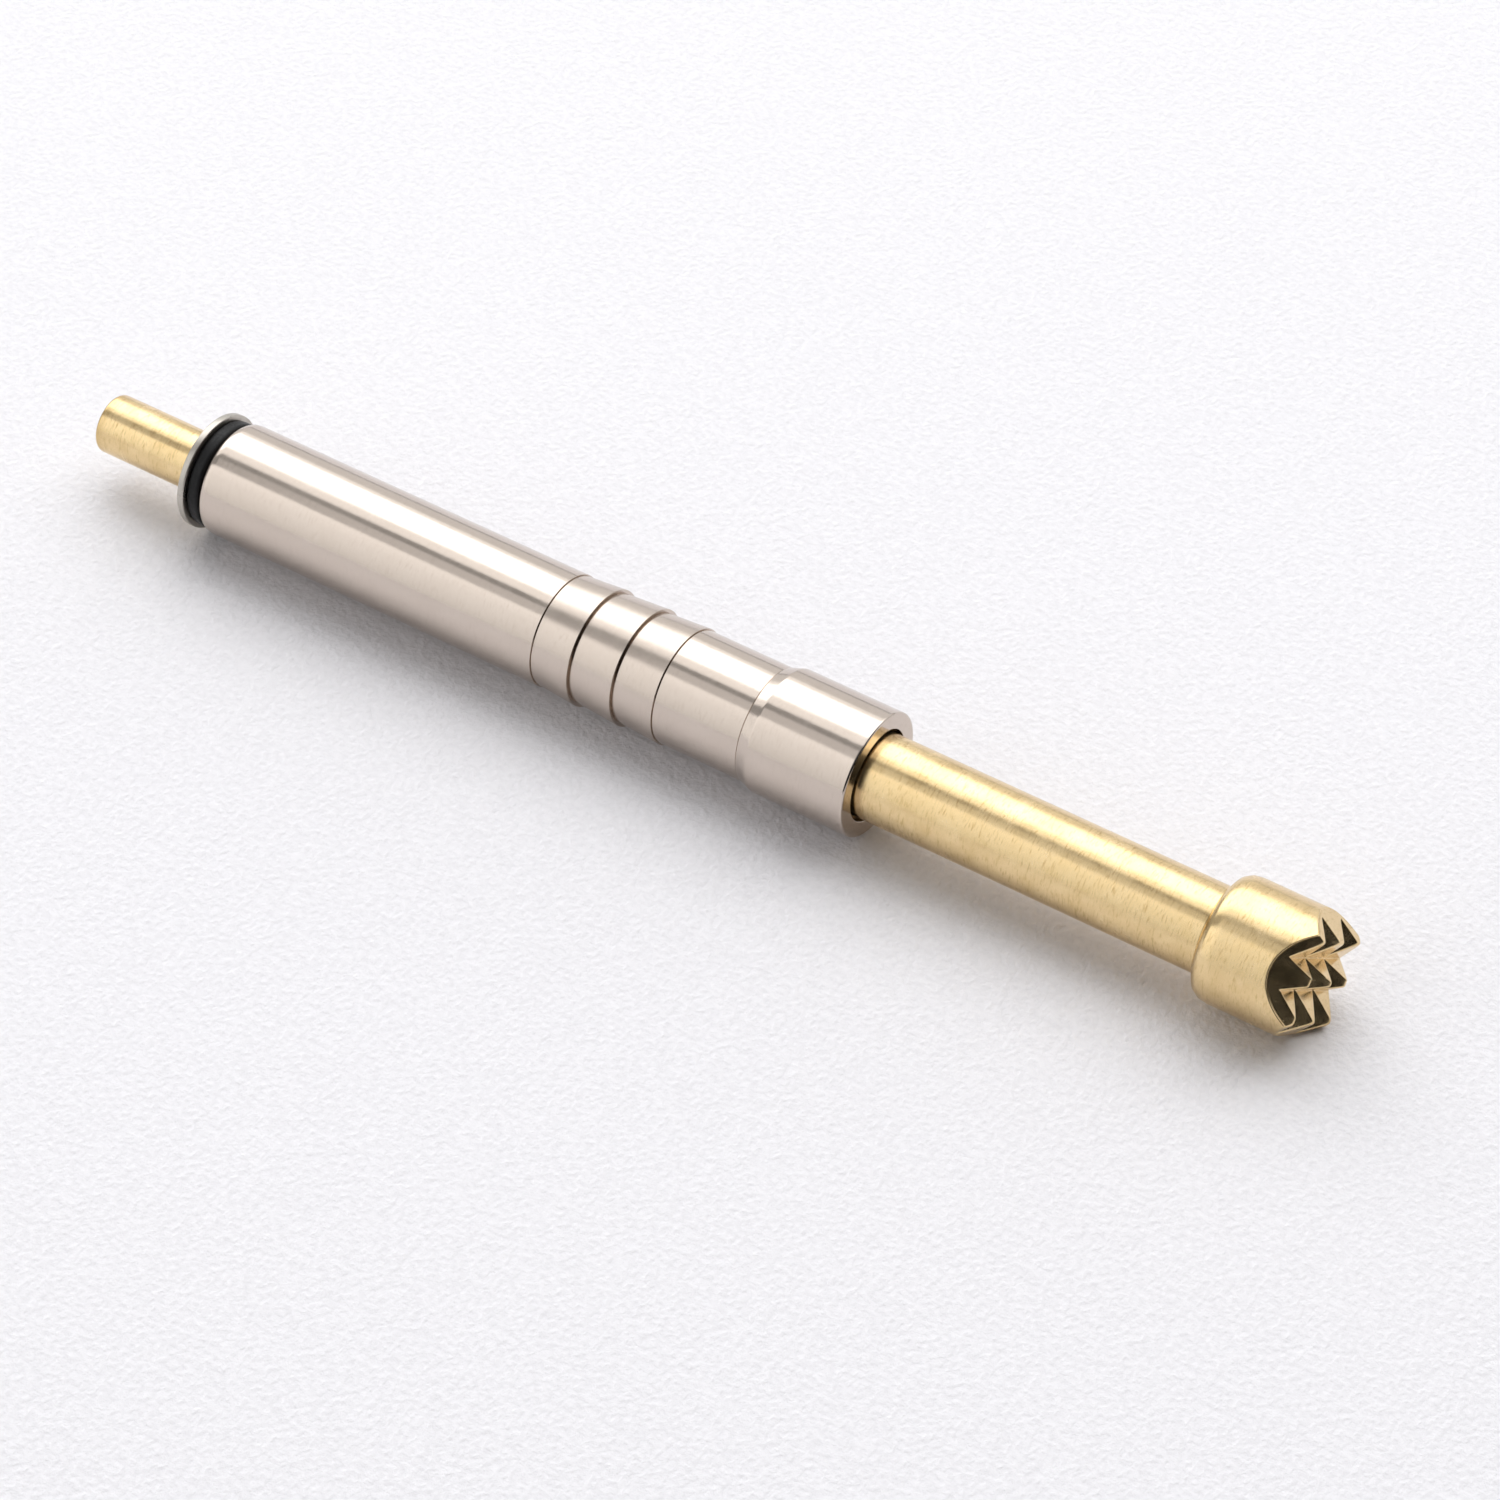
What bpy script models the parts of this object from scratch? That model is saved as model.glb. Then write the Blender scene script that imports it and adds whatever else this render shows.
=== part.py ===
"""Spring-loaded contact probe: a nickel barrel with a sprung, gold-plated plunger running right through it.

Metres. +X runs along the axis towards the contact head and +Z is up. The origin is on the axis, at the rear
edge of the barrel's stop collar, which is where a drilled plate stops the barrel.
"""

import math

import bmesh
import bpy

MM = 0.001
FLATS = 36  # flats round every turned piece, all in step, so that fitted pieces never touch
FIT_GAP = 0.02 * MM  # between pieces that are pressed together or rest on each other
RUNNING_GAP = 0.045 * MM  # round the shaft and the tail, in their guides
MERGE_DISTANCE = 0.0001 * MM
SHARP_ANGLE = math.radians(30)
ROUND_STEPS = 4  # flats along a rounded edge

# Barrel
BARREL_RADIUS = 2.0 * MM
BARREL_BORE = 1.78 * MM
BARREL_REAR = -21.67 * MM
ROLLED_EDGE = 0.4 * MM
LIP_THICKNESS = 0.25 * MM
LIP_BORE = 1.35 * MM
FIRST_BARB = -8.01 * MM
BARB_LENGTHS = (1.50 * MM, 1.68 * MM, 1.60 * MM)
BARB_ROOT = 1.955 * MM
BARB_CRESTS = (2.07 * MM, 2.07 * MM, 2.05 * MM)
COLLAR_RADIUS = 2.17 * MM
COLLAR_RAMP = 0.45 * MM
COLLAR_LENGTH = 4.0 * MM
MUZZLE_CHAMFER = 0.1 * MM
MUZZLE_BORE = 1.60 * MM
MUZZLE_LIP = 0.8 * MM

# Plunger
SHAFT_RADIUS = 1.475 * MM
TAIL_RADIUS = 1.05 * MM
TAIL_END = -26.75 * MM
TAIL_CHAMFER = 0.12 * MM
SHAFT_STEP = -0.2 * MM
CLIP_REAR = -22.43 * MM
CLIP_THICKNESS = 0.25 * MM
CLIP_GROOVE_RADIUS = 0.8 * MM
STEM_RADIUS = 0.75 * MM
STEM_LENGTH = 1.6 * MM

# Contact head
HEAD_REAR = 16.5 * MM
HEAD_RADIUS = 2.13 * MM
HEAD_SHOULDER = 0.5 * MM
HEAD_LENGTH = 4.0 * MM
TOOTH_FLAT = 0.05 * MM  # how much is worn off each point
CROWN_ROLL = math.radians(50)
CROWN_TILT = 0.1  # how much the crown falls away towards its last column
TOOTH_PITCH = 1.30 * MM
# Each tooth of a row or column: its place across, how much lower it starts, and its slopes before and after
TOOTH_COLUMNS = (
    (-TOOTH_PITCH, 0.13 * MM, 1.22, 1.22),
    (0, 0.05 * MM, 1.22, 1.22),
    (TOOTH_PITCH, 0.17 * MM, 1.22, 1.3),
)
TOOTH_ROWS = (
    (-TOOTH_PITCH, 0.22 * MM, 1.1, 0.9),
    (0, 0, 1.7, 1.7),
    (TOOTH_PITCH, 0.10 * MM, 0.9, 1.1),
)

# Guides, spring and rings
FRONT_BUSH_LENGTH = 3.2 * MM
REAR_BUSH_LENGTH = 2.2 * MM
WASHER_THICKNESS = 0.2 * MM
WIRE_RADIUS = 0.21 * MM
COIL_RADIUS = 1.42 * MM
COILS = 19
CLOSED_COILS = 1  # at each end, wound almost touching
CLOSED_PITCH = 0.46 * MM
POINTS_PER_COIL = 12
CLIP_RADIUS = 2.05 * MM
CLIP_RELIEF = 1.35 * MM
CLIP_MOUTH = math.radians(64)
CLIP_MOUTH_AT = math.radians(-30)  # from +Y towards +Z
CLIP_FINGER = math.radians(30)  # the width of each of the three fingers that reach into the groove
CLIP_STEPS = 60
CLIP_SLACK = math.radians(0.3)  # keeps the end points of a finger in the finger
DAMPER_RADIUS = 1.90 * MM

MUZZLE = COLLAR_LENGTH + MUZZLE_CHAMFER
CAVITY_FRONT = MUZZLE - MUZZLE_LIP
CAVITY_REAR = BARREL_REAR + LIP_THICKNESS
SPRING_REAR = CAVITY_REAR + FIT_GAP + REAR_BUSH_LENGTH
SPRING_FRONT = SHAFT_STEP - 2 * FIT_GAP - WASHER_THICKNESS
DAMPER_REAR = CLIP_REAR + CLIP_THICKNESS + FIT_GAP


def clear_scene():
    for obj in list(bpy.data.objects):
        bpy.data.objects.remove(obj)


def finish(name, colour, roughness, metallic):
    material = bpy.data.materials.new(name)
    material.use_nodes = True
    shader = material.node_tree.nodes["Principled BSDF"]
    shader.inputs["Base Color"].default_value = (*colour, 1)
    shader.inputs["Roughness"].default_value = roughness
    shader.inputs["Metallic"].default_value = metallic
    return material


def empty(name, parent=None):
    obj = bpy.data.objects.new(name, None)
    bpy.context.scene.collection.objects.link(obj)
    obj.parent = parent
    return obj


def add(name, data, material, parent, station):
    """A new object on the axis, `station` metres along it from the origin."""
    obj = bpy.data.objects.new(name, data)
    bpy.context.scene.collection.objects.link(obj)
    data.materials.append(material)
    obj.parent = parent
    obj.location.x = station
    return obj


def arc(centre_x, centre_r, radius_x, radius_r, start, end, steps):
    """Points of an ellipse's arc from `start` to `end` degrees, where 0 points along +X and 90 outwards."""
    angles = [math.radians(start + (end - start) * i / steps) for i in range(steps + 1)]
    return [(centre_x + radius_x * math.cos(a), centre_r + radius_r * math.sin(a)) for a in angles]


def quarter_round(rear, outside, radius):
    """A rounded rear edge, from the rear face out to the cylinder."""
    return arc(rear + radius, outside - radius, radius, radius, 180, 90, ROUND_STEPS)


def smooth_mesh(name, shape):
    """The finished shape as a mesh, facing out, smooth but for its real edges."""
    bmesh.ops.recalc_face_normals(shape, faces=shape.faces)
    mesh = bpy.data.meshes.new(name)
    shape.to_mesh(mesh)
    shape.free()
    mesh.shade_smooth()
    mesh.set_sharp_from_angle(angle=SHARP_ANGLE)
    return mesh


def turned(name, outline, material, parent, station=0.0):
    """A lathe-turned piece. The outline's points are (x, radius); it either closes on itself or starts and
    ends on the axis. A flat lies straight below the axis, so the part doesn't roll when it is put down."""
    shape = bmesh.new()
    half_flat = math.pi / FLATS
    across, up = math.sin(half_flat), math.cos(half_flat)
    points = [shape.verts.new((x - station, r * across, r * up)) for x, r in outline]
    on_axis = outline[0][1] == 0
    edges = [shape.edges.new(pair) for pair in zip(points, points[1:])]
    if not on_axis:
        edges.append(shape.edges.new((points[-1], points[0])))
    bmesh.ops.spin(shape, geom=points + edges, cent=(0, 0, 0), axis=(1, 0, 0), angle=math.tau, steps=FLATS)
    bmesh.ops.remove_doubles(shape, verts=shape.verts, dist=MERGE_DISTANCE)
    return add(name, smooth_mesh(name, shape), material, parent, station)


def prism(name, corners, travel, material, parent, station):
    """A flat outline pushed along the vector `travel`."""
    shape = bmesh.new()
    face = shape.faces.new([shape.verts.new(corner) for corner in corners])
    pushed = bmesh.ops.extrude_face_region(shape, geom=[face])["geom"]
    moved = [v for v in pushed if isinstance(v, bmesh.types.BMVert)]
    bmesh.ops.translate(shape, verts=moved, vec=travel)
    return add(name, smooth_mesh(name, shape), material, parent, station)


def barrel_outside():
    """The barrel's outer line, from the rear lip's bore to the muzzle's bore."""
    line = [(BARREL_REAR, LIP_BORE)]
    line += quarter_round(BARREL_REAR, BARREL_RADIUS, ROLLED_EDGE)
    edge = FIRST_BARB
    line += [(edge, BARREL_RADIUS), (edge, BARB_ROOT)]
    for length, crest in zip(BARB_LENGTHS, BARB_CRESTS):
        edge += length
        line += [(edge, crest), (edge, BARB_ROOT)]
    line[-1] = (edge, BARREL_RADIUS)
    line += [(0, BARREL_RADIUS), (COLLAR_RAMP, COLLAR_RADIUS)]
    line += [
        (COLLAR_LENGTH, COLLAR_RADIUS),
        (MUZZLE, COLLAR_RADIUS - MUZZLE_CHAMFER),
        (MUZZLE, MUZZLE_BORE),
    ]
    return line


def barrel(material, parent):
    inside = [
        (CAVITY_FRONT, MUZZLE_BORE),
        (CAVITY_FRONT, BARREL_BORE),
        (CAVITY_REAR, BARREL_BORE),
        (CAVITY_REAR, LIP_BORE),
    ]
    turned("barrel", barrel_outside() + inside, material, parent)


def front_guide_bush(material, parent):
    front = CAVITY_FRONT - FIT_GAP
    rear = front - FRONT_BUSH_LENGTH
    inner = SHAFT_RADIUS + RUNNING_GAP
    outer = BARREL_BORE - FIT_GAP
    outline = [(rear, inner), (rear, outer), (front, outer), (front, inner)]
    turned("front_guide_bush", outline, material, parent)


def rear_guide_bush(material, parent):
    """The plug behind the spring: its nose fills the hole in the barrel's rolled lip."""
    rear = CAVITY_REAR + FIT_GAP
    nose = BARREL_REAR + FIT_GAP
    inner = TAIL_RADIUS + RUNNING_GAP
    outer = BARREL_BORE - FIT_GAP
    nose_radius = LIP_BORE - FIT_GAP
    outline = [
        (nose, inner),
        (nose, nose_radius),
        (rear, nose_radius),
        (rear, outer),
        (SPRING_REAR, outer),
        (SPRING_REAR, inner),
    ]
    turned("rear_guide_bush", outline, material, parent)


def spring_seat_washer(material, parent):
    front = SHAFT_STEP - FIT_GAP
    rear = front - WASHER_THICKNESS
    inner = TAIL_RADIUS + RUNNING_GAP
    outer = COIL_RADIUS + WIRE_RADIUS
    outline = [(rear, inner), (rear, outer), (front, outer), (front, inner)]
    turned("spring_seat_washer", outline, material, parent)


def coil_advance(turns):
    """How far the wire's centre has moved along the axis after this many turns from its rear end."""
    wire_length = SPRING_FRONT - SPRING_REAR - 2 * (WIRE_RADIUS + FIT_GAP)
    open_coils = COILS - 2 * CLOSED_COILS
    open_pitch = (wire_length - 2 * CLOSED_COILS * CLOSED_PITCH) / open_coils
    rear_turns = min(turns, CLOSED_COILS)
    open_turns = min(max(turns - CLOSED_COILS, 0), open_coils)
    front_turns = max(turns - CLOSED_COILS - open_coils, 0)
    return (rear_turns + front_turns) * CLOSED_PITCH + open_turns * open_pitch


def plunger_spring(material, parent):
    wire = bpy.data.curves.new("plunger_spring", "CURVE")
    wire.dimensions = "3D"
    wire.bevel_depth = WIRE_RADIUS
    wire.bevel_resolution = 1
    wire.use_fill_caps = True
    line = wire.splines.new("POLY")
    count = COILS * POINTS_PER_COIL + 1
    line.points.add(count - 1)
    for i, point in enumerate(line.points):
        turns = i / POINTS_PER_COIL
        angle = math.tau * turns
        along = WIRE_RADIUS + FIT_GAP + coil_advance(turns)
        point.co = (along, COIL_RADIUS * math.cos(angle), COIL_RADIUS * math.sin(angle), 1)
    add("plunger_spring", wire, material, parent, SPRING_REAR)


def plunger_shaft(material, parent):
    """One rod: the stem that holds the head, the thick shaft, and the tail with the clip's groove."""
    groove_rear = CLIP_REAR - FIT_GAP
    groove_front = CLIP_REAR + CLIP_THICKNESS + FIT_GAP
    outline = [
        (HEAD_REAR + STEM_LENGTH, 0),
        (HEAD_REAR + STEM_LENGTH, STEM_RADIUS),
        (HEAD_REAR, STEM_RADIUS),
        (HEAD_REAR, SHAFT_RADIUS),
        (SHAFT_STEP, SHAFT_RADIUS),
        (SHAFT_STEP, TAIL_RADIUS),
        (groove_front, TAIL_RADIUS),
        (groove_front, CLIP_GROOVE_RADIUS),
        (groove_rear, CLIP_GROOVE_RADIUS),
        (groove_rear, TAIL_RADIUS),
        (TAIL_END + TAIL_CHAMFER, TAIL_RADIUS),
        (TAIL_END, TAIL_RADIUS - TAIL_CHAMFER),
        (TAIL_END, 0),
    ]
    turned("plunger_shaft", outline, material, parent, SHAFT_STEP)


def groove_bottom(tooth, following):
    """Where the slope after one tooth meets the slope before the following one: (depth, place)."""
    place, drop, _, after = tooth
    next_place, next_drop, before, _ = following
    across = (next_drop - drop + after * place + before * next_place) / (after + before)
    return drop + after * (across - place), across


def crown_comb(teeth, reach):
    """The comb's outline, (x, across): slopes outside the teeth and a V groove between each two of them."""
    first_place, first_drop, first_slope, _ = teeth[0]
    last_place, last_drop, _, last_slope = teeth[-1]
    comb = [(-first_drop - first_slope * (first_place + reach), -reach)]
    for tooth, following in zip(teeth, teeth[1:]):
        depth, across = groove_bottom(tooth, following)
        comb += [(-tooth[1], tooth[0]), (-depth, across)]
    comb += [(-last_drop, last_place), (-last_drop - last_slope * (reach - last_place), reach)]
    return comb + [(reach, reach), (reach, -reach)]


def crown_cutter(name, roll, teeth, lean_across, lean_along, material, parent, tips):
    """A comb that cuts one direction of the crown. The two leans tilt it across and along its grooves."""
    reach = 2 * HEAD_RADIUS
    corners = []
    for x, across in crown_comb(teeth, reach):
        corners.append((x - lean_across * across - lean_along * reach, across, -reach))
    travel = (2 * lean_along * reach, 0, 2 * reach)
    cutter = prism(name, corners, travel, material, parent, tips)
    cutter.rotation_euler.x = math.pi / 2 + CROWN_ROLL + roll
    cutter.hide_render = True
    cutter.display_type = "WIRE"
    return cutter


def contact_head(material, parent):
    rear = HEAD_REAR + FIT_GAP
    socket_end = HEAD_REAR + STEM_LENGTH + FIT_GAP
    socket_radius = STEM_RADIUS + FIT_GAP
    tips = HEAD_REAR + HEAD_LENGTH
    front = tips - TOOTH_FLAT
    outline = [(socket_end, 0), (socket_end, socket_radius), (rear, socket_radius)]
    outline += quarter_round(rear, HEAD_RADIUS, HEAD_SHOULDER)
    outline += [(front, HEAD_RADIUS), (front, 0)]
    head = turned("contact_head", outline, material, parent, HEAD_REAR)
    quarter_turn = math.pi / 2
    columns = crown_cutter("column_cutter", 0, TOOTH_COLUMNS, CROWN_TILT, 0, material, parent, tips)
    rows = crown_cutter("row_cutter", quarter_turn, TOOTH_ROWS, 0, CROWN_TILT, material, parent, tips)
    for cutter in (columns, rows):
        cut = head.modifiers.new(cutter.name, "BOOLEAN")
        cut.operation = "DIFFERENCE"
        cut.object = cutter


def damper_ring(material, parent):
    """A soft flat ring with a rounded rim, between the clip and the barrel's rear lip."""
    front = BARREL_REAR - FIT_GAP
    half = (front - DAMPER_REAR) / 2
    outline = [(front, TAIL_RADIUS + FIT_GAP), (DAMPER_REAR, TAIL_RADIUS + FIT_GAP)]
    outline += arc(DAMPER_REAR + half, DAMPER_RADIUS - half / 2, half, half / 2, 180, 0, 2 * ROUND_STEPS)
    turned("damper_ring", outline, material, parent)


def retaining_clip(material, parent):
    """An E-clip: an open ring with three fingers that reach into the tail's groove."""
    start = CLIP_MOUTH_AT + CLIP_MOUTH / 2
    sweep = math.tau - CLIP_MOUTH
    around = [start + sweep * i / CLIP_STEPS for i in range(CLIP_STEPS + 1)]
    fingers = (start + CLIP_FINGER / 2, start + sweep / 2, start + sweep - CLIP_FINGER / 2)

    def inner_radius(angle):
        nearest = min(abs(angle - finger) for finger in fingers)
        in_finger = nearest < CLIP_FINGER / 2 + CLIP_SLACK
        return CLIP_GROOVE_RADIUS + FIT_GAP if in_finger else CLIP_RELIEF

    outside = [(0, CLIP_RADIUS * math.cos(a), CLIP_RADIUS * math.sin(a)) for a in around]
    inside = [(0, inner_radius(a) * math.cos(a), inner_radius(a) * math.sin(a)) for a in reversed(around)]
    prism("retaining_clip", outside + inside, (CLIP_THICKNESS, 0, 0), material, parent, CLIP_REAR)


def main():
    clear_scene()
    nickel = finish("nickel_plate", (0.72, 0.69, 0.66), 0.25, 1.0)
    gold = finish("gold_plate", (0.86, 0.68, 0.36), 0.28, 1.0)
    brass = finish("plain_brass", (0.70, 0.52, 0.24), 0.35, 1.0)
    steel = finish("spring_steel", (0.62, 0.61, 0.60), 0.30, 1.0)
    black_rubber = finish("black_rubber", (0.02, 0.02, 0.02), 0.55, 0.0)

    fixed = empty("barrel_frame")
    carriage = empty("slide_carriage", fixed)
    plunger = empty("plunger_frame", carriage)

    barrel(nickel, fixed)
    front_guide_bush(brass, fixed)
    rear_guide_bush(brass, fixed)
    plunger_spring(steel, fixed)
    spring_seat_washer(steel, carriage)
    plunger_shaft(gold, plunger)
    contact_head(gold, plunger)
    damper_ring(black_rubber, plunger)
    retaining_clip(steel, plunger)


main()
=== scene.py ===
"""The looks of the spring-loaded contact probe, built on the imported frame. Metres, +X towards the head."""

import math

import bmesh
import bpy
import numpy as np
from mathutils import Matrix, Vector


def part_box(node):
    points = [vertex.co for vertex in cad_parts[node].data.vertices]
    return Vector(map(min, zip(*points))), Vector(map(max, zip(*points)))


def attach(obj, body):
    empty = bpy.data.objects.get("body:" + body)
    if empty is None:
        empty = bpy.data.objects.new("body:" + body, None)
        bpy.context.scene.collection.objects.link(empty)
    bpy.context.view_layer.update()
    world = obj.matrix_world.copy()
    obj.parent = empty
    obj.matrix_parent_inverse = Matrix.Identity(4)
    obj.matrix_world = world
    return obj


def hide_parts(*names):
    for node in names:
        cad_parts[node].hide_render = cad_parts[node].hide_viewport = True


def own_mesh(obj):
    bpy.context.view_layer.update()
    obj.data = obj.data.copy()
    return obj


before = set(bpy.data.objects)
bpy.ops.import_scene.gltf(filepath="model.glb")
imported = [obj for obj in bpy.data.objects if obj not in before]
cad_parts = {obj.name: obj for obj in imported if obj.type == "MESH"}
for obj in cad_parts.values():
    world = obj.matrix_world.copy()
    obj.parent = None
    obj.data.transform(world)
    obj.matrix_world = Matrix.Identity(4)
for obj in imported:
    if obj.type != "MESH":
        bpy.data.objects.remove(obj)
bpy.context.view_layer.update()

MM = 0.001

# Meshes
AROUND = 256  # points round every turned piece
ROUND_STEPS = 4  # steps along every small rounded edge
LONGEST_CUT = 0.48  # the largest share of a straight stretch that a rounded corner takes
HOLD_SHARE = 0.15  # how far beyond an arc its holding points lie, as a share of the arc's cut
SHARP_ANGLE = math.radians(40)
SAME_PLACE = 1e-8
WELD_DISTANCE = 1e-9
CAD_WELD_DISTANCE = 1e-7
CAD_FLAT_ANGLE = math.radians(1)  # CAD faces that turn by less than this are one face
CAD_EDGE_ANGLE = math.radians(50)  # CAD edges that turn by more than this are eased

# The places that the frame gives
BARREL_LOW, BARREL_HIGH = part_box("barrel")
SHAFT_LOW, SHAFT_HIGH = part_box("plunger_shaft")
HEAD_LOW, HEAD_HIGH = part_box("contact_head")
CLIP_LOW, CLIP_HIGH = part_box("retaining_clip")
DAMPER_LOW, DAMPER_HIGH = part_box("damper_ring")
FRONT_BUSH_LOW, FRONT_BUSH_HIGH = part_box("front_guide_bush")
REAR_BUSH_LOW, REAR_BUSH_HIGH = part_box("rear_guide_bush")
WASHER_LOW, WASHER_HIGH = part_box("spring_seat_washer")
SPRING_LOW, SPRING_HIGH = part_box("plunger_spring")

# Gaps and eased edges that several pieces share
FIT_GAP = 0.02 * MM  # between pieces that are pressed together or rest on each other
RUNNING_GAP = 0.045 * MM  # round the shaft and the tail, in their guides
CUT_EDGE = 0.012 * MM  # left by the tool on the barrel's crisp corners
SMALL_EDGE = 0.03 * MM
ROD_EDGE = 0.05 * MM

# Barrel
BARREL_RADIUS = 2.0 * MM
BARREL_BORE = 1.78 * MM
ROLLED_EDGE = 0.4 * MM
LIP_THICKNESS = 0.25 * MM
LIP_BORE = 1.35 * MM
BARB_EDGES = (-8.01 * MM, -6.51 * MM, -4.83 * MM, -3.23 * MM)
BARB_ROOT = 1.955 * MM
BARB_CRESTS = (2.07 * MM, 2.07 * MM, 2.05 * MM)
BARB_GROOVES = (0.025 * MM, 0.055 * MM, 0.055 * MM, 0.03 * MM)  # cut at the foot of each step
COLLAR_RADIUS = 2.17 * MM
COLLAR_RAMP = 0.45 * MM
RAMP_EASE = 0.2 * MM
SEAT_LINE = 0.02 * MM  # the fine line that the collar starts with
MUZZLE_EDGE = 0.08 * MM
MUZZLE_BORE = 1.60 * MM
MUZZLE_LIP = 0.8 * MM

# Plunger
SHAFT_RADIUS = 1.475 * MM
SHAFT_STEP = -0.2 * MM
TAIL_RADIUS = 1.05 * MM
TAIL_CHAMFER = 0.12 * MM
STEM_RADIUS = 0.75 * MM
STEM_LENGTH = 1.6 * MM
CLIP_GROOVE_RADIUS = 0.8 * MM
CLIP_EDGE = 0.04 * MM
DAMPER_EDGE = 0.12 * MM

# Contact head
HEAD_RADIUS = 2.13 * MM
HEAD_SHOULDER = 0.64 * MM
HEAD_AROUND = 480  # points round the head
HEAD_ACROSS = 120  # rings from its wall to the middle of the crown
RIM_HOLD = 0.05 * MM  # how far behind the rim its holding ring lies
CROWN_ROLL = math.radians(50)
CROWN_TILT = 0.1  # how much the crown falls away towards its last column
TOOTH_FLAT = 0.05 * MM  # how much is worn off each point
TOOTH_EASE = 0.05 * MM  # how far the teeth's ridges and the grooves between them are rounded
CROSSING_EASE = 0.06 * MM  # and how far the creases are, where rows and columns cross
TOOTH_PITCH = 1.30 * MM
# Each tooth of a row or column: its place across, how much lower it starts, and its slopes before and after
TOOTH_ROWS = (
    (-TOOTH_PITCH, 0.22 * MM, 1.1, 0.9),
    (0, 0, 1.7, 1.7),
    (TOOTH_PITCH, 0.10 * MM, 0.9, 1.1),
)
TOOTH_COLUMNS = (
    (-TOOTH_PITCH, 0.13 * MM, 1.22, 1.22),
    (0, 0.05 * MM, 1.22, 1.22),
    (TOOTH_PITCH, 0.17 * MM, 1.22, 1.3),
)

# Spring
COILS = 19
COIL_RADIUS = 1.42 * MM
WIRE_RADIUS = 0.21 * MM
CLOSED_PITCH = 0.46 * MM
STEPS_PER_COIL = 40
WIRE_SIDES = 14

# Materials
CLOUD_SCALE = 900
WAVE_SCALE = 2600
RING_SCALE = 60
RING_STRETCH = 260
MARK_SCALE = 3200
MARK_STRETCH = 5
MARK_RANGE = (0.54, 0.74)  # how strong the marks' noise is where the wear starts and where it is full
STAIN_STRENGTH = 0.8
COARSE_ROUGHNESS = 0.08  # how much rougher the barbs are than the rest of the barrel
RUBBER_GRAIN_SCALE = 14000
BOARD_GRAIN_SCALE = 4500

# Floor and camera, which looks down on the probe with the head towards the lower right
FLOOR = -COLLAR_RADIUS
FLOOR_SIDE = 1.5
CAMERA_PLACE = Vector((62.14, -95.63, 112.90)) * MM
CAMERA_LOOK = Vector((-0.3886, 0.5909, -0.7070))
CAMERA_LENS = 120.07
CAMERA_SENSOR = 36

# Light: panels parallel to the probe, and the strips of one in front of it that fades downwards
PANEL_DISTANCE = 0.5
FRONT_LEFT = -1.0
FRONT_RIGHT = -0.08
FRONT_STRIPS = 8
FRONT_FROM = 122  # degrees, the upper edge of the first strip
FRONT_STEP = 8  # degrees, the height of each strip
FRONT_LIGHT = 0.98
FRONT_FALL = 0.22  # how much of its light the lowest strip has lost
FRONT_BOOST = 0.1  # how much brighter the first strip is
FRONT_BOOST_END = 0.25  # the share of the panel's height over which that fades
BRIGHT_SIDE = (-0.81, 0.5, 0.3)
ROOM_DARK = 0.015
ROOM_LIGHT = 0.42
ROOM_FADE = 0.7  # how far to each side of the middle the room changes from dark to light


def clean(outline):
    """The outline without points that lie on top of each other."""
    kept = [outline[0]]
    for point in outline[1:]:
        if math.dist(point, kept[-1]) > SAME_PLACE:
            kept.append(point)
    return kept


def rounded(outline, closed):
    """Eases every corner of an outline of (x, radius, corner radius) points with an arc. A holding point on
    each side of an arc keeps the shading of the long faces flat."""
    count = len(outline)
    made = []
    for i, (x, r, ease) in enumerate(outline):
        here = Vector((x, r))
        if ease == 0 or (not closed and i in (0, count - 1)):
            made.append((x, r))
            continue
        back = Vector(outline[i - 1][:2]) - here
        ahead = Vector(outline[(i + 1) % count][:2]) - here
        bend = back.angle(ahead)
        cut = min(ease / math.tan(bend / 2), LONGEST_CUT * back.length, LONGEST_CUT * ahead.length)
        back.normalize()
        ahead.normalize()
        hold = HOLD_SHARE * cut
        start = here + back * cut
        end = here + ahead * cut
        made.append(tuple(start + back * hold))
        for step in range(ROUND_STEPS + 1):
            t = step / ROUND_STEPS
            made.append(tuple(start * (1 - t) ** 2 + here * 2 * t * (1 - t) + end * t**2))
        made.append(tuple(end + ahead * hold))
    return clean(made)


def skin(rings, around, closed=False):
    """The faces between rings of `around` points. A closed skin also joins the last ring to the first."""
    faces = []
    for ring in range(rings if closed else rings - 1):
        here = ring * around
        ahead = (ring + 1) % rings * around
        for i in range(around):
            j = (i + 1) % around
            faces.append((here + i, here + j, ahead + j, ahead + i))
    return faces


def mesh_object(name, points, faces):
    mesh = bpy.data.meshes.new(name)
    mesh.from_pydata(points, [], faces)
    shape = bmesh.new()
    shape.from_mesh(mesh)
    bmesh.ops.remove_doubles(shape, verts=shape.verts, dist=WELD_DISTANCE)
    bmesh.ops.recalc_face_normals(shape, faces=shape.faces)
    shape.to_mesh(mesh)
    shape.free()
    mesh.shade_smooth()
    mesh.set_sharp_from_angle(angle=SHARP_ANGLE)
    obj = bpy.data.objects.new(name, mesh)
    bpy.context.scene.collection.objects.link(obj)
    return obj


def lathe(name, outline, closed=True):
    """Turns an outline of (x, radius, corner radius) points about the X axis."""
    section = rounded(outline, closed)
    points = []
    for x, r in section:
        for i in range(AROUND):
            angle = math.tau * i / AROUND
            points.append((x, r * math.cos(angle), r * math.sin(angle)))
    return mesh_object(name, points, skin(len(section), AROUND, closed))


def ring_outline(low, high, inner, outer, edge):
    """The section of a plain ring or sleeve."""
    return [(low, inner, edge), (low, outer, edge), (high, outer, edge), (high, inner, edge)]


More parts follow.
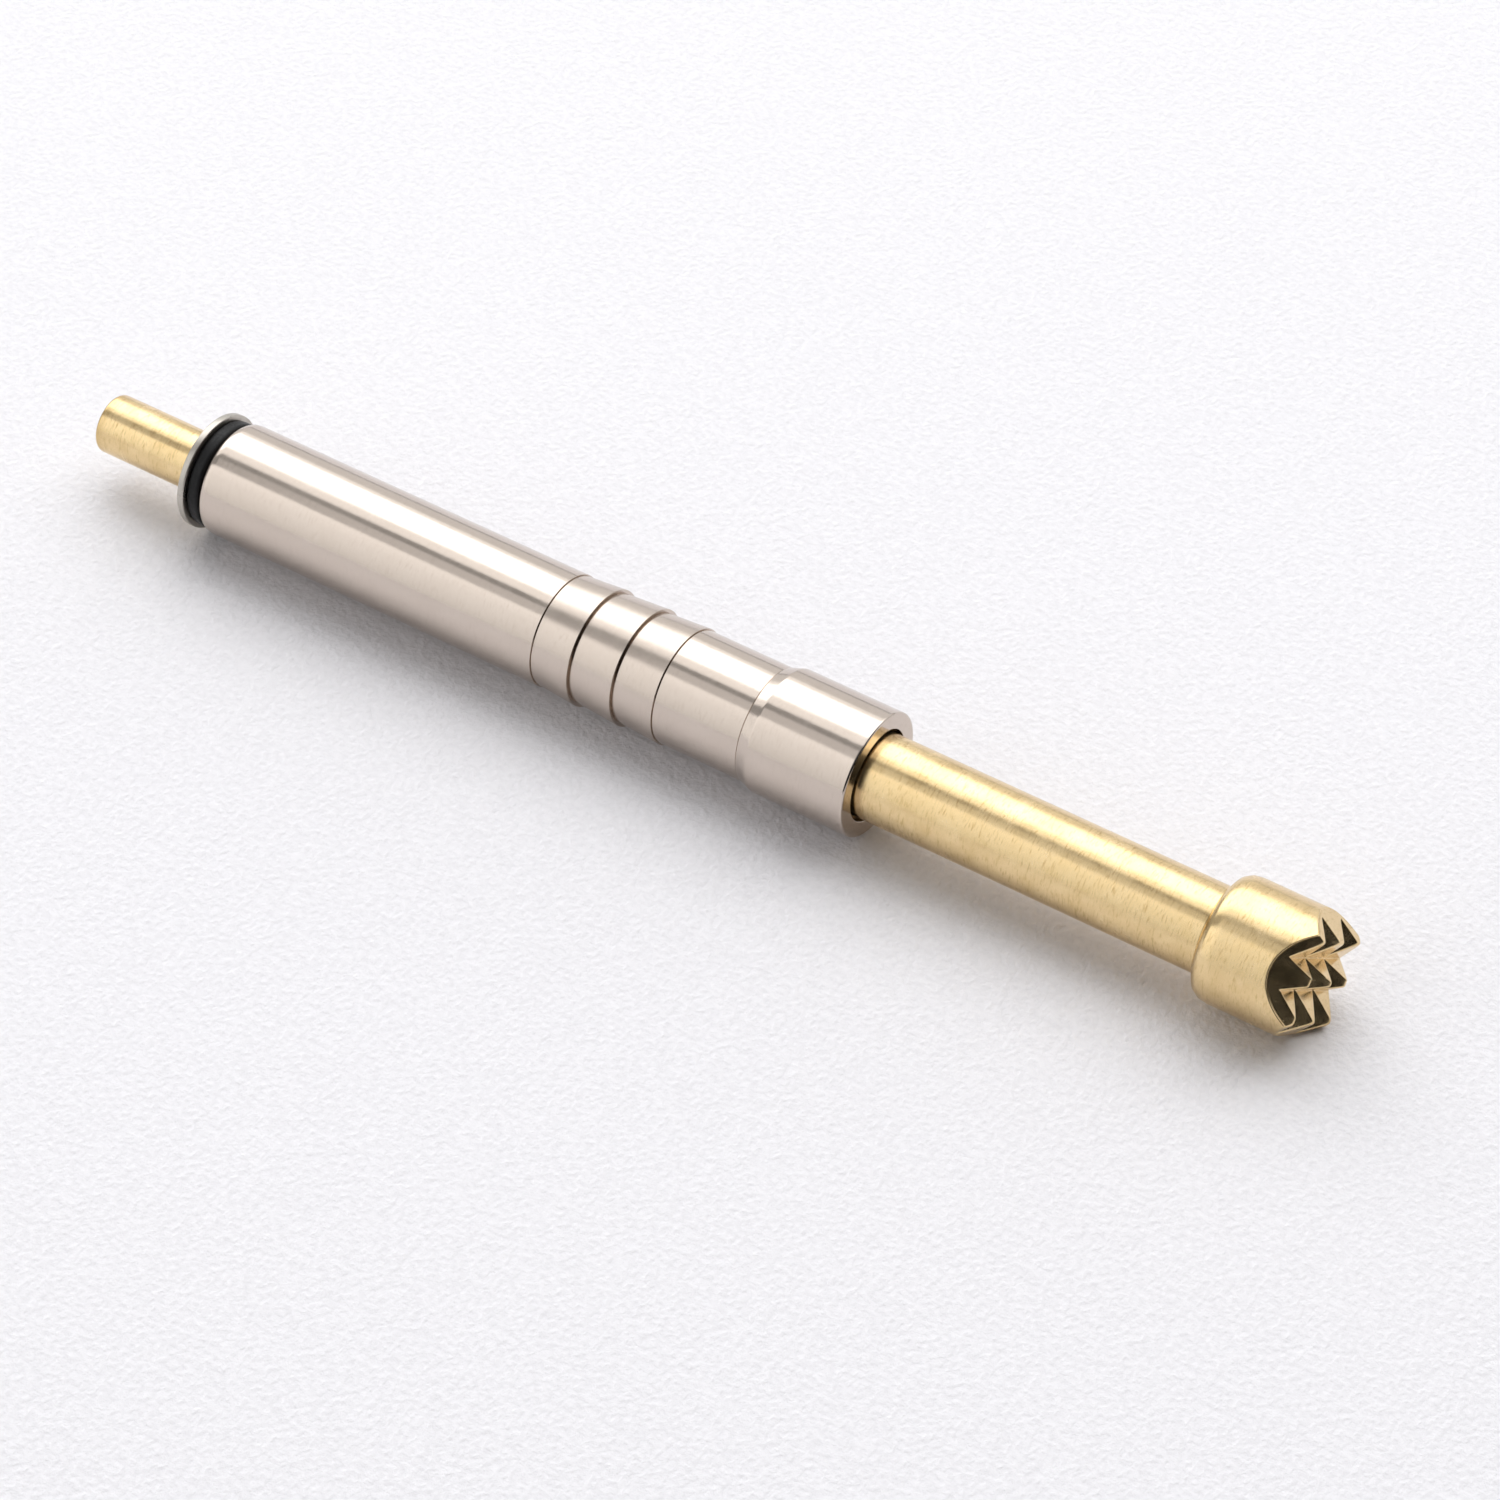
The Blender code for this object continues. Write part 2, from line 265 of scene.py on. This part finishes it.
def finish_piece(obj, material, body, node):
    obj.data.materials.clear()
    obj.data.materials.append(material)
    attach(obj, body)
    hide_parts(node)


def material_nodes(name):
    material = bpy.data.materials.new(name)
    material.use_nodes = True
    nodes = material.node_tree.nodes
    return material, nodes, material.node_tree.links, nodes["Principled BSDF"]


def stretched_noise(nodes, links, scale, stretch=1.0, detail=3.0, roughness=0.55):
    """Noise in the object's own space, `stretch` times as fine along X as across it."""
    place = nodes.new("ShaderNodeTexCoord")
    mapping = nodes.new("ShaderNodeMapping")
    mapping.inputs["Scale"].default_value = (stretch, 1, 1)
    noise = nodes.new("ShaderNodeTexNoise")
    noise.inputs["Scale"].default_value = scale
    noise.inputs["Detail"].default_value = detail
    noise.inputs["Roughness"].default_value = roughness
    links.new(place.outputs["Object"], mapping.inputs["Vector"])
    links.new(mapping.outputs["Vector"], noise.inputs["Vector"])
    return noise.outputs["Fac"]


def remap(nodes, links, source, low, high, start=0.35, end=0.65):
    node = nodes.new("ShaderNodeMapRange")
    node.inputs["From Min"].default_value = start
    node.inputs["From Max"].default_value = end
    node.inputs["To Min"].default_value = low
    node.inputs["To Max"].default_value = high
    links.new(source, node.inputs["Value"])
    return node.outputs["Result"]


def add_bump(nodes, links, height, distance, normal=None):
    bump = nodes.new("ShaderNodeBump")
    bump.inputs["Distance"].default_value = distance
    links.new(height, bump.inputs["Height"])
    if normal is not None:
        links.new(normal, bump.inputs["Normal"])
    return bump.outputs["Normal"]


def tint_mix(nodes, links, factor, first, second):
    """A colour between two others; each is a plain colour or another mix's result."""
    mix = nodes.new("ShaderNodeMix")
    mix.data_type = "RGBA"
    links.new(factor, mix.inputs["Factor"])
    for socket, colour in (("A", first), ("B", second)):
        if isinstance(colour, tuple):
            mix.inputs[socket].default_value = (*colour, 1)
        else:
            links.new(colour, mix.inputs[socket])
    return mix.outputs["Result"]


def along_probe(nodes, links):
    """The place along the probe, in metres from its origin."""
    place = nodes.new("ShaderNodeTexCoord")
    parts = nodes.new("ShaderNodeSeparateXYZ")
    links.new(place.outputs["Object"], parts.inputs["Vector"])
    return parts.outputs["X"]


def along_band(nodes, links, low, high):
    """1 between two places along the probe and 0 elsewhere."""
    compare = nodes.new("ShaderNodeMath")
    compare.operation = "COMPARE"
    links.new(along_probe(nodes, links), compare.inputs[0])
    compare.inputs[1].default_value = (low + high) / 2
    compare.inputs[2].default_value = (high - low) / 2
    return compare.outputs["Value"]


def turned_metal(name, light, dark, worn, gloss, ring_depth, wave_depth, coarse=None, stain=None):
    """Plated, lathe-turned metal: rings round the axis, gentle waves that break up its reflections, short
    worn marks left by the tool, and cloudy changes in tint and gloss. `gloss` is its lowest and highest
    roughness, `coarse` the stretch along the probe that the tool left rougher, and `stain` the stretch over
    which an end's worn colour fades."""
    material, nodes, links, shader = material_nodes(name)
    shader.inputs["Metallic"].default_value = 1.0
    clouds = stretched_noise(nodes, links, CLOUD_SCALE, detail=6.0, roughness=0.75)
    waves = stretched_noise(nodes, links, WAVE_SCALE)
    rings = stretched_noise(nodes, links, RING_SCALE, RING_STRETCH, detail=5.0, roughness=0.7)
    marks = stretched_noise(nodes, links, MARK_SCALE, MARK_STRETCH)
    plating = tint_mix(nodes, links, remap(nodes, links, clouds, 0, 1), dark, light)
    wear = remap(nodes, links, marks, 0, 1, *MARK_RANGE)
    tint = tint_mix(nodes, links, wear, plating, worn)
    if stain is not None:
        strength = remap(nodes, links, along_probe(nodes, links), STAIN_STRENGTH, 0, *stain)
        tint = tint_mix(nodes, links, strength, tint, worn)
    links.new(tint, shader.inputs["Base Color"])
    roughness = remap(nodes, links, clouds, *gloss)
    if coarse is not None:
        rougher = nodes.new("ShaderNodeMath")
        rougher.operation = "MULTIPLY_ADD"
        links.new(along_band(nodes, links, *coarse), rougher.inputs[0])
        rougher.inputs[1].default_value = COARSE_ROUGHNESS
        links.new(roughness, rougher.inputs[2])
        roughness = rougher.outputs["Value"]
    links.new(roughness, shader.inputs["Roughness"])
    normal = add_bump(nodes, links, rings, ring_depth)
    normal = add_bump(nodes, links, waves, wave_depth, normal)
    links.new(normal, shader.inputs["Normal"])
    return material


def satin_nickel():
    return turned_metal(
        "satin_nickel",
        light=(0.61, 0.53, 0.465),
        dark=(0.59, 0.51, 0.445),
        worn=(0.565, 0.485, 0.42),
        gloss=(0.12, 0.17),
        ring_depth=0.0004 * MM,
        wave_depth=0.0022 * MM,
        coarse=(BARB_EDGES[0], BARB_EDGES[-1]),
    )


def pale_gold():
    return turned_metal(
        "pale_gold",
        light=(0.86, 0.66, 0.37),
        dark=(0.73, 0.54, 0.275),
        worn=(0.60, 0.42, 0.19),
        gloss=(0.18, 0.28),
        ring_depth=0.0008 * MM,
        wave_depth=0.003 * MM,
        stain=(SHAFT_LOW.x, SHAFT_LOW.x + 0.4 * MM),
    )


def turned_brass():
    return turned_metal(
        "turned_brass",
        light=(0.78, 0.60, 0.30),
        dark=(0.70, 0.52, 0.25),
        worn=(0.58, 0.42, 0.19),
        gloss=(0.25, 0.4),
        ring_depth=0.002 * MM,
        wave_depth=0.003 * MM,
    )


def bright_steel():
    return turned_metal(
        "bright_steel",
        light=(0.52, 0.49, 0.44),
        dark=(0.46, 0.43, 0.385),
        worn=(0.40, 0.37, 0.33),
        gloss=(0.26, 0.36),
        ring_depth=0.0008 * MM,
        wave_depth=0.003 * MM,
    )


def black_rubber_skin():
    """Soft black rubber with a fine grain."""
    material, nodes, links, shader = material_nodes("black_rubber_skin")
    shader.inputs["Base Color"].default_value = (0.006, 0.006, 0.0065, 1)
    shader.inputs["Specular IOR Level"].default_value = 0.25
    grain = stretched_noise(nodes, links, RUBBER_GRAIN_SCALE)
    links.new(remap(nodes, links, grain, 0.35, 0.6), shader.inputs["Roughness"])
    links.new(add_bump(nodes, links, grain, 0.004 * MM), shader.inputs["Normal"])
    return material


def white_board():
    """A matte white board with a fine, pebbly grain."""
    material, nodes, links, shader = material_nodes("white_board")
    grain = stretched_noise(nodes, links, BOARD_GRAIN_SCALE, detail=4.0)
    speckle = remap(nodes, links, grain, 0, 1)
    tint = tint_mix(nodes, links, speckle, (0.845, 0.835, 0.865), (0.90, 0.89, 0.92))
    links.new(tint, shader.inputs["Base Color"])
    shader.inputs["Roughness"].default_value = 0.75
    links.new(add_bump(nodes, links, grain, 0.06 * MM), shader.inputs["Normal"])
    return material


def barrel_outline():
    """The barrel's section, from the bore of the rolled rear lip, over the outside and back through it."""
    rear = BARREL_LOW.x
    muzzle = BARREL_HIGH.x
    line = [(rear, LIP_BORE, CUT_EDGE), (rear, BARREL_RADIUS, ROLLED_EDGE)]
    crests = (BARREL_RADIUS, *BARB_CRESTS)
    feet = (BARB_ROOT, BARB_ROOT, BARB_ROOT, BARREL_RADIUS)
    for place, crest, foot, groove in zip(BARB_EDGES, crests, feet, BARB_GROOVES):
        line += [(place, crest, CUT_EDGE), (place, foot - groove, 0), (place + groove, foot, CUT_EDGE)]
    line += [(-SEAT_LINE, BARREL_RADIUS, 0), (0, BARREL_RADIUS - SEAT_LINE, 0)]
    line += [(SEAT_LINE, BARREL_RADIUS + SEAT_LINE, SEAT_LINE), (COLLAR_RAMP, COLLAR_RADIUS, RAMP_EASE)]
    line += [(muzzle, COLLAR_RADIUS, MUZZLE_EDGE), (muzzle, MUZZLE_BORE, SMALL_EDGE)]
    front = muzzle - MUZZLE_LIP
    back = rear + LIP_THICKNESS
    line += [(front, MUZZLE_BORE, CUT_EDGE), (front, BARREL_BORE, CUT_EDGE)]
    line += [(back, BARREL_BORE, CUT_EDGE), (back, LIP_BORE, CUT_EDGE)]
    return line


def build_barrel(material):
    barrel = lathe("barrel_shell", barrel_outline())
    finish_piece(barrel, material, "barrel_body", "barrel")


def build_front_bush(material):
    inner = SHAFT_RADIUS + RUNNING_GAP
    outer = BARREL_BORE - FIT_GAP
    outline = ring_outline(FRONT_BUSH_LOW.x, FRONT_BUSH_HIGH.x, inner, outer, SMALL_EDGE)
    bush = lathe("front_bush_sleeve", outline)
    finish_piece(bush, material, "barrel_body", "front_guide_bush")


def build_rear_bush(material):
    """The plug behind the spring: its nose fills the hole in the barrel's rolled lip."""
    inner = TAIL_RADIUS + RUNNING_GAP
    nose = LIP_BORE - FIT_GAP
    outer = BARREL_BORE - FIT_GAP
    rear, front = REAR_BUSH_LOW.x, REAR_BUSH_HIGH.x
    step = BARREL_LOW.x + LIP_THICKNESS + FIT_GAP
    outline = [(rear, inner, SMALL_EDGE), (rear, nose, SMALL_EDGE), (step, nose, SMALL_EDGE)]
    outline += [(step, outer, SMALL_EDGE), (front, outer, SMALL_EDGE), (front, inner, SMALL_EDGE)]
    bush = lathe("rear_bush_plug", outline)
    finish_piece(bush, material, "barrel_body", "rear_guide_bush")


def build_washer(material):
    inner = TAIL_RADIUS + RUNNING_GAP
    outline = ring_outline(WASHER_LOW.x, WASHER_HIGH.x, inner, WASHER_HIGH.z, SMALL_EDGE)
    washer = lathe("spring_washer", outline)
    finish_piece(washer, material, "spring_seat", "spring_seat_washer")


def build_shaft(material):
    """One rod, from the stem that holds the head to the tail with the clip's groove."""
    tail = SHAFT_LOW.x
    stem_end = SHAFT_HIGH.x
    shoulder = stem_end - STEM_LENGTH
    groove_low = CLIP_LOW.x - FIT_GAP
    groove_high = CLIP_HIGH.x + FIT_GAP
    outline = [(stem_end, 0, 0), (stem_end, STEM_RADIUS, ROD_EDGE), (shoulder, STEM_RADIUS, ROD_EDGE)]
    outline += [(shoulder, SHAFT_RADIUS, ROD_EDGE), (SHAFT_STEP, SHAFT_RADIUS, ROD_EDGE)]
    outline += [(SHAFT_STEP, TAIL_RADIUS, ROD_EDGE)]
    outline += [(groove_high, TAIL_RADIUS, ROD_EDGE), (groove_high, CLIP_GROOVE_RADIUS, ROD_EDGE)]
    outline += [(groove_low, CLIP_GROOVE_RADIUS, ROD_EDGE), (groove_low, TAIL_RADIUS, ROD_EDGE)]
    outline += [(tail, TAIL_RADIUS, TAIL_CHAMFER), (tail, 0, 0)]
    shaft = lathe("plunger_rod", outline, closed=False)
    finish_piece(shaft, material, "plunger", "plunger_shaft")


def eased_lower(a, b, ease):
    """The lower of two heights, with the crease between them rounded."""
    share = np.maximum(ease - np.abs(a - b), 0) / ease
    return np.minimum(a, b) - share * share * ease / 4


def comb_depth(across, teeth):
    """How far a row of teeth lies below its highest point, at the places `across` it."""
    depth = None
    for place, drop, before, after in teeth:
        away = across - place
        lean = (after - before) / 2
        rise = (after + before) / 2
        tooth = drop + lean * away + rise * (np.sqrt(away * away + TOOTH_EASE * TOOTH_EASE) - TOOTH_EASE)
        depth = tooth if depth is None else eased_lower(depth, tooth, TOOTH_EASE)
    return depth


def crown_depth(y, z):
    """How far the crown's surface lies behind its front-most point."""
    over = -y * math.sin(CROWN_ROLL) + z * math.cos(CROWN_ROLL)
    along = -y * math.cos(CROWN_ROLL) - z * math.sin(CROWN_ROLL)
    rows = comb_depth(along, TOOTH_ROWS)
    columns = comb_depth(over, TOOTH_COLUMNS)
    return CROWN_TILT * over - eased_lower(-rows, -columns, CROSSING_EASE)


def head_rings(socket_end, tips):
    """Rings of points from the socket's end, over the head's wall and eased rim, to the crown's middle."""
    rear = HEAD_LOW.x
    socket = STEM_RADIUS + FIT_GAP
    back = [(socket_end, 0, 0), (socket_end, socket, 0), (rear, socket, SMALL_EDGE)]
    back += [(rear, HEAD_RADIUS, HEAD_SHOULDER), (rear + 2 * HEAD_SHOULDER, HEAD_RADIUS, 0)]
    angles = np.arange(HEAD_AROUND) * math.tau / HEAD_AROUND
    cosine = np.cos(angles)
    sine = np.sin(angles)
    rings = []
    for x, r in rounded(back, False)[1:]:
        rings.append(np.stack([np.full(HEAD_AROUND, x), r * cosine, r * sine], 1))
    rim = tips - crown_depth(HEAD_RADIUS * cosine, HEAD_RADIUS * sine) - SMALL_EDGE
    rings.append(np.stack([rim - RIM_HOLD, HEAD_RADIUS * cosine, HEAD_RADIUS * sine], 1))
    for step in range(ROUND_STEPS + 1):
        turn = math.pi / 2 * step / ROUND_STEPS
        r = HEAD_RADIUS - SMALL_EDGE * (1 - math.cos(turn))
        rings.append(np.stack([rim + SMALL_EDGE * math.sin(turn), r * cosine, r * sine], 1))
    for r in np.linspace(HEAD_RADIUS - SMALL_EDGE, 0, HEAD_ACROSS)[1:-1]:
        y, z = r * cosine, r * sine
        rings.append(np.stack([tips - crown_depth(y, z), y, z], 1))
    return rings


def build_head(material):
    """The head is turned up to its wall, whose front edge and end face then follow the crown's grooves."""
    socket_end = HEAD_LOW.x + STEM_LENGTH
    tips = HEAD_HIGH.x + TOOTH_FLAT
    rings = head_rings(socket_end, tips)
    points = [tuple(p) for p in np.concatenate(rings)]
    faces = skin(len(rings), HEAD_AROUND)
    socket_middle = len(points)
    crown_middle = socket_middle + 1
    points.append((socket_end, 0, 0))
    points.append((tips - float(crown_depth(np.float64(0), np.float64(0))), 0, 0))
    last_ring = (len(rings) - 1) * HEAD_AROUND
    for i in range(HEAD_AROUND):
        j = (i + 1) % HEAD_AROUND
        faces.append((socket_middle, j, i))
        faces.append((crown_middle, last_ring + i, last_ring + j))
    head = mesh_object("crown_head", points, faces)
    finish_piece(head, material, "plunger", "contact_head")


def build_damper(material):
    inner = TAIL_RADIUS + FIT_GAP
    outline = ring_outline(DAMPER_LOW.x, DAMPER_HIGH.x, inner, DAMPER_HIGH.z, DAMPER_EDGE)
    ring = lathe("damper_cushion", outline)
    finish_piece(ring, material, "plunger", "damper_ring")


def build_clip(material):
    """The E-clip: its section follows the CAD outline and gets eased edges."""
    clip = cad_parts["retaining_clip"]
    copy = bpy.data.objects.new("tail_clip", clip.data.copy())
    bpy.context.scene.collection.objects.link(copy)
    shape = bmesh.new()
    shape.from_mesh(copy.data)
    bmesh.ops.remove_doubles(shape, verts=shape.verts, dist=CAD_WELD_DISTANCE)
    bmesh.ops.dissolve_limit(
        shape,
        angle_limit=CAD_FLAT_ANGLE,
        verts=shape.verts,
        edges=shape.edges,
        delimit={"NORMAL"},
    )
    shape.to_mesh(copy.data)
    shape.free()
    copy.data.shade_smooth()
    bevel = copy.modifiers.new("eased_edges", "BEVEL")
    bevel.width = CLIP_EDGE
    bevel.segments = 3
    bevel.limit_method = "ANGLE"
    bevel.angle_limit = CAD_EDGE_ANGLE
    finish_piece(copy, material, "plunger", "retaining_clip")


def coil_advance(turns):
    """How far the wire has moved along the axis after this many turns from its rear end."""
    open_coils = COILS - 2
    open_pitch = (SPRING_HIGH.x - SPRING_LOW.x - 2 * WIRE_RADIUS - 2 * CLOSED_PITCH) / open_coils
    along = min(turns, 1) * CLOSED_PITCH
    along += min(max(turns - 1, 0), open_coils) * open_pitch
    along += max(turns - COILS + 1, 0) * CLOSED_PITCH
    return along


def build_spring(material):
    """A round wire swept along the coil: the end coils lie almost together and the rest are open."""
    points = []
    rings = COILS * STEPS_PER_COIL + 1
    for i in range(rings):
        turns = i / STEPS_PER_COIL
        angle = math.tau * turns
        out = Vector((0, math.cos(angle), math.sin(angle)))
        along = SPRING_LOW.x + WIRE_RADIUS + coil_advance(turns)
        centre = Vector((along, 0, 0)) + out * COIL_RADIUS
        for k in range(WIRE_SIDES):
            turn = math.tau * k / WIRE_SIDES
            side = out * (WIRE_RADIUS * math.cos(turn)) + Vector((WIRE_RADIUS * math.sin(turn), 0, 0))
            points.append(tuple(centre + side))
    faces = skin(rings, WIRE_SIDES)
    faces.append(tuple(range(WIRE_SIDES)))
    faces.append(tuple(reversed(range((rings - 1) * WIRE_SIDES, rings * WIRE_SIDES))))
    spring = mesh_object("coil_spring", points, faces)
    finish_piece(spring, material, "barrel_body", "plunger_spring")
    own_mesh(spring)


def build_floor(material):
    side = FLOOR_SIDE
    mesh = bpy.data.meshes.new("floor")
    corners = [(-side, -side, FLOOR), (side, -side, FLOOR), (side, side, FLOOR), (-side, side, FLOOR)]
    mesh.from_pydata(corners, [], [(0, 1, 2, 3)])
    floor = bpy.data.objects.new("floor", mesh)
    bpy.context.scene.collection.objects.link(floor)
    mesh.materials.append(material)


def panel(name, low, high, left, right, radiance):
    """A soft white light panel parallel to the probe. `low` and `high` are its edges' angles about the X
    axis, in degrees from +Y over the top; `left` and `right` are its ends along X."""
    middle = math.radians((low + high) / 2)
    half = math.radians((high - low) / 2)
    data = bpy.data.lights.new(name, "AREA")
    data.shape = "RECTANGLE"
    data.size = right - left
    data.size_y = 2 * PANEL_DISTANCE * math.tan(half)
    data.energy = radiance * math.pi * data.size * data.size_y
    light = bpy.data.objects.new(name, data)
    bpy.context.scene.collection.objects.link(light)
    out = Vector((0, math.cos(middle), math.sin(middle)))
    along = Vector((1, 0, 0))
    turn = Matrix((along, out.cross(along), out)).transposed()
    place = out * PANEL_DISTANCE + along * (left + right) / 2
    light.matrix_world = Matrix.Translation(place) @ turn.to_4x4()


def build_world():
    """A dim room, darkest beyond the head and in front of it."""
    world = bpy.data.worlds.new("studio")
    world.use_nodes = True
    nodes, links = world.node_tree.nodes, world.node_tree.links
    direction = nodes.new("ShaderNodeTexCoord")
    facing = nodes.new("ShaderNodeVectorMath")
    facing.operation = "DOT_PRODUCT"
    facing.inputs[1].default_value = BRIGHT_SIDE
    links.new(direction.outputs["Generated"], facing.inputs[0])
    level = nodes.new("ShaderNodeMapRange")
    level.interpolation_type = "SMOOTHSTEP"
    level.inputs["From Min"].default_value = -ROOM_FADE
    level.inputs["From Max"].default_value = ROOM_FADE
    level.inputs["To Min"].default_value = ROOM_DARK
    level.inputs["To Max"].default_value = ROOM_LIGHT
    links.new(facing.outputs["Value"], level.inputs["Value"])
    background = nodes["Background"]
    background.inputs["Color"].default_value = (1, 1, 1, 1)
    links.new(level.outputs["Result"], background.inputs["Strength"])
    bpy.context.scene.world = world


def build_lights():
    build_world()
    panel("backdrop_glow", low=4, high=27, left=-0.8, right=0.6, radiance=0.50)
    panel("back_softbox", low=27, high=96, left=-1.1, right=0.35, radiance=1.0)
    panel("back_softbox_core", low=36, high=79, left=-0.9, right=0.25, radiance=1.2)
    panel("front_upper_panel", low=106, high=FRONT_FROM, left=-0.31, right=FRONT_RIGHT, radiance=0.46)
    for strip in range(FRONT_STRIPS):
        low = FRONT_FROM + strip * FRONT_STEP
        fall = strip / (FRONT_STRIPS - 1)
        radiance = FRONT_LIGHT * (1 - FRONT_FALL * fall * fall)
        radiance += FRONT_BOOST * max(0, 1 - fall / FRONT_BOOST_END)
        panel("front_strip", low, low + FRONT_STEP, FRONT_LEFT, FRONT_RIGHT, radiance)


def build_camera():
    data = bpy.data.cameras.new("view")
    data.lens = CAMERA_LENS
    data.sensor_width = CAMERA_SENSOR
    data.clip_start = 0.01
    data.clip_end = 10
    camera = bpy.data.objects.new("view", data)
    bpy.context.scene.collection.objects.link(camera)
    right = CAMERA_LOOK.cross(Vector((0, 0, 1))).normalized()
    up = right.cross(CAMERA_LOOK).normalized()
    turn = Matrix((right, up, -CAMERA_LOOK.normalized())).transposed()
    camera.matrix_world = Matrix.Translation(CAMERA_PLACE) @ turn.to_4x4()
    bpy.context.scene.camera = camera
    bpy.context.scene.view_settings.view_transform = "Standard"


def main():
    nickel = satin_nickel()
    gold = pale_gold()
    brass = turned_brass()
    steel = bright_steel()
    build_barrel(nickel)
    build_front_bush(brass)
    build_rear_bush(brass)
    build_spring(steel)
    build_washer(steel)
    build_shaft(gold)
    build_head(gold)
    build_damper(black_rubber_skin())
    build_clip(steel)
    build_floor(white_board())
    build_lights()
    build_camera()


main()
